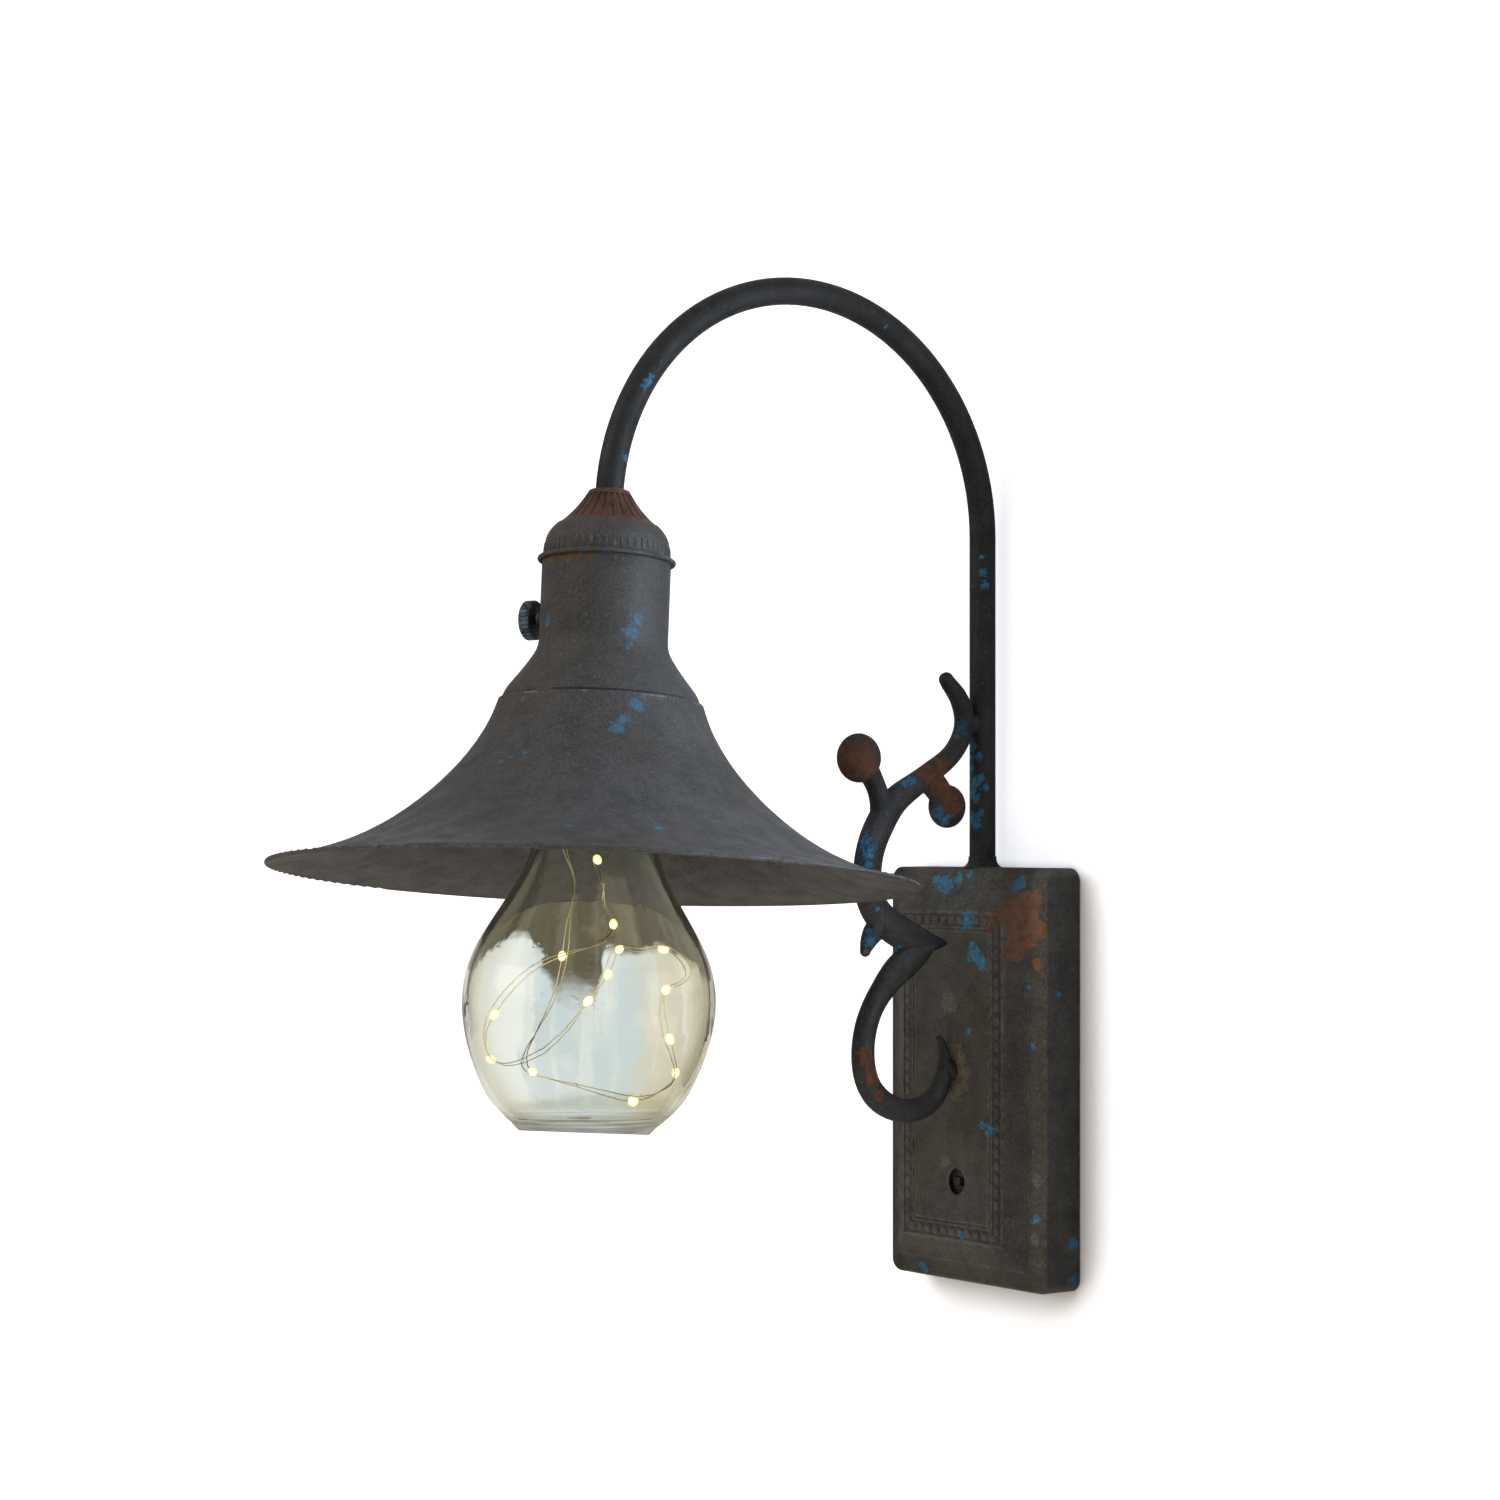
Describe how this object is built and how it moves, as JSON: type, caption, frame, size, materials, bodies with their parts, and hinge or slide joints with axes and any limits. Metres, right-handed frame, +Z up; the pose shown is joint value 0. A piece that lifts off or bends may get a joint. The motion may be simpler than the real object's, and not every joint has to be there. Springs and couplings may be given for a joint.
{
  "type": "wall_lantern",
  "caption": "Wall lantern: bent tube arm on a pressed metal wall box with a cast scroll bracket, bell shade, clear glass globe and a battery light string inside.",
  "frame": {"origin": "On the wall, at the centre of the back plate's rear face.", "axes": "+Z up, +X to the right as seen from the room, +Y into the wall, so the lantern stands out to -Y."},
  "size_m": [0.2727, 0.3657, 0.4503],
  "materials": {
    "box_paint": "matte charcoal paint, worn and scuffed",
    "arm_paint": "matte charcoal paint with chips of teal undercoat",
    "shade_paint": "matte charcoal paint with chips and light rust",
    "ferrule_metal": "rubbed dark paint with rust brown in the flutes",
    "scroll_iron": "dark painted casting with rust brown leaves",
    "zinc_steel": "dull zinc plate",
    "bright_steel": "bright plating with a dark worn face",
    "brass_part": "plain brass",
    "nylon": "off-white nylon",
    "globe_glass": "clear glass with a faint green-yellow tint",
    "string_wire": "fine lacquered copper wire",
    "bead_resin": "clear resin over a warm white light",
    "lead_sleeve": "black flexible insulation",
    "holder_plastic": "black moulded plastic",
    "slider_plastic": "black moulded plastic",
    "cell_wrap": "plain dark film wrap",
    "resistor_body": "tan lacquer"
  },
  "bodies": {
    "lantern": {"wall_housing": "box_paint", "back_plate": "zinc_steel", "back_plate_screws": "zinc_steel", "arm_tube": "arm_paint", "arm_foot": "arm_paint", "scroll_bracket": "scroll_iron", "scroll_welds": "scroll_iron", "ferrule": "ferrule_metal", "shade_cap": "shade_paint", "shade_collar": "shade_paint", "shade_skirt": "shade_paint", "nipple": "brass_part", "nipple_washer": "zinc_steel", "nipple_nut": "brass_part", "clamp_nut": "bright_steel", "lead_wire": "lead_sleeve", "lead_splice": "lead_sleeve", "battery_holder": "holder_plastic", "holder_screws": "zinc_steel", "battery_cells": "cell_wrap", "contact_plates": "zinc_steel", "contact_springs": "zinc_steel", "switch_body": "holder_plastic", "switch_terminals": "brass_part", "series_resistor": "resistor_body"},
    "globe": {"glass_globe": "globe_glass", "light_string": "string_wire", "light_beads": "bead_resin"},
    "clamp_tip_body": {"clamp_tip": "nylon"},
    "thumbscrew_body": {"thumbscrew": "bright_steel"},
    "switch_slider_body": {"switch_slider": "slider_plastic"},
    "battery_lid_body": {"battery_lid": "holder_plastic"}
  },
  "joints": [
    {"name": "globe_slide", "type": "slide", "parent": "lantern", "child": "globe", "axis": [0.0579, -0.0856, -0.9946], "range_m": [0, 0.23], "deforming": ["light_string", "light_beads"]},
    {"name": "clamp_tip_slide", "type": "slide", "parent": "lantern", "child": "clamp_tip_body", "axis": [-0.8646, -0.5025, -0.0071], "range_m": [0, 0.0035]},
    {"name": "thumbscrew_turn", "type": "hinge", "parent": "clamp_tip_body", "child": "thumbscrew_body", "pos_m": [-0.02281, -0.23532, 0.20121], "axis": [-0.8646, -0.5025, -0.0071], "range_deg": [0, 1800]},
    {"name": "switch_slide", "type": "slide", "parent": "lantern", "child": "switch_slider_body", "axis": [1, 0, 0], "range_m": [0, 0.003]},
    {"name": "battery_lid_slide", "type": "slide", "parent": "lantern", "child": "battery_lid_body", "axis": [0, 1, 0], "range_m": [0, 0.03]}
  ],
  "couplings": [
    {"joint": "clamp_tip_slide", "follows": "thumbscrew_turn", "m_per_rad": 0.00011141}
  ]
}
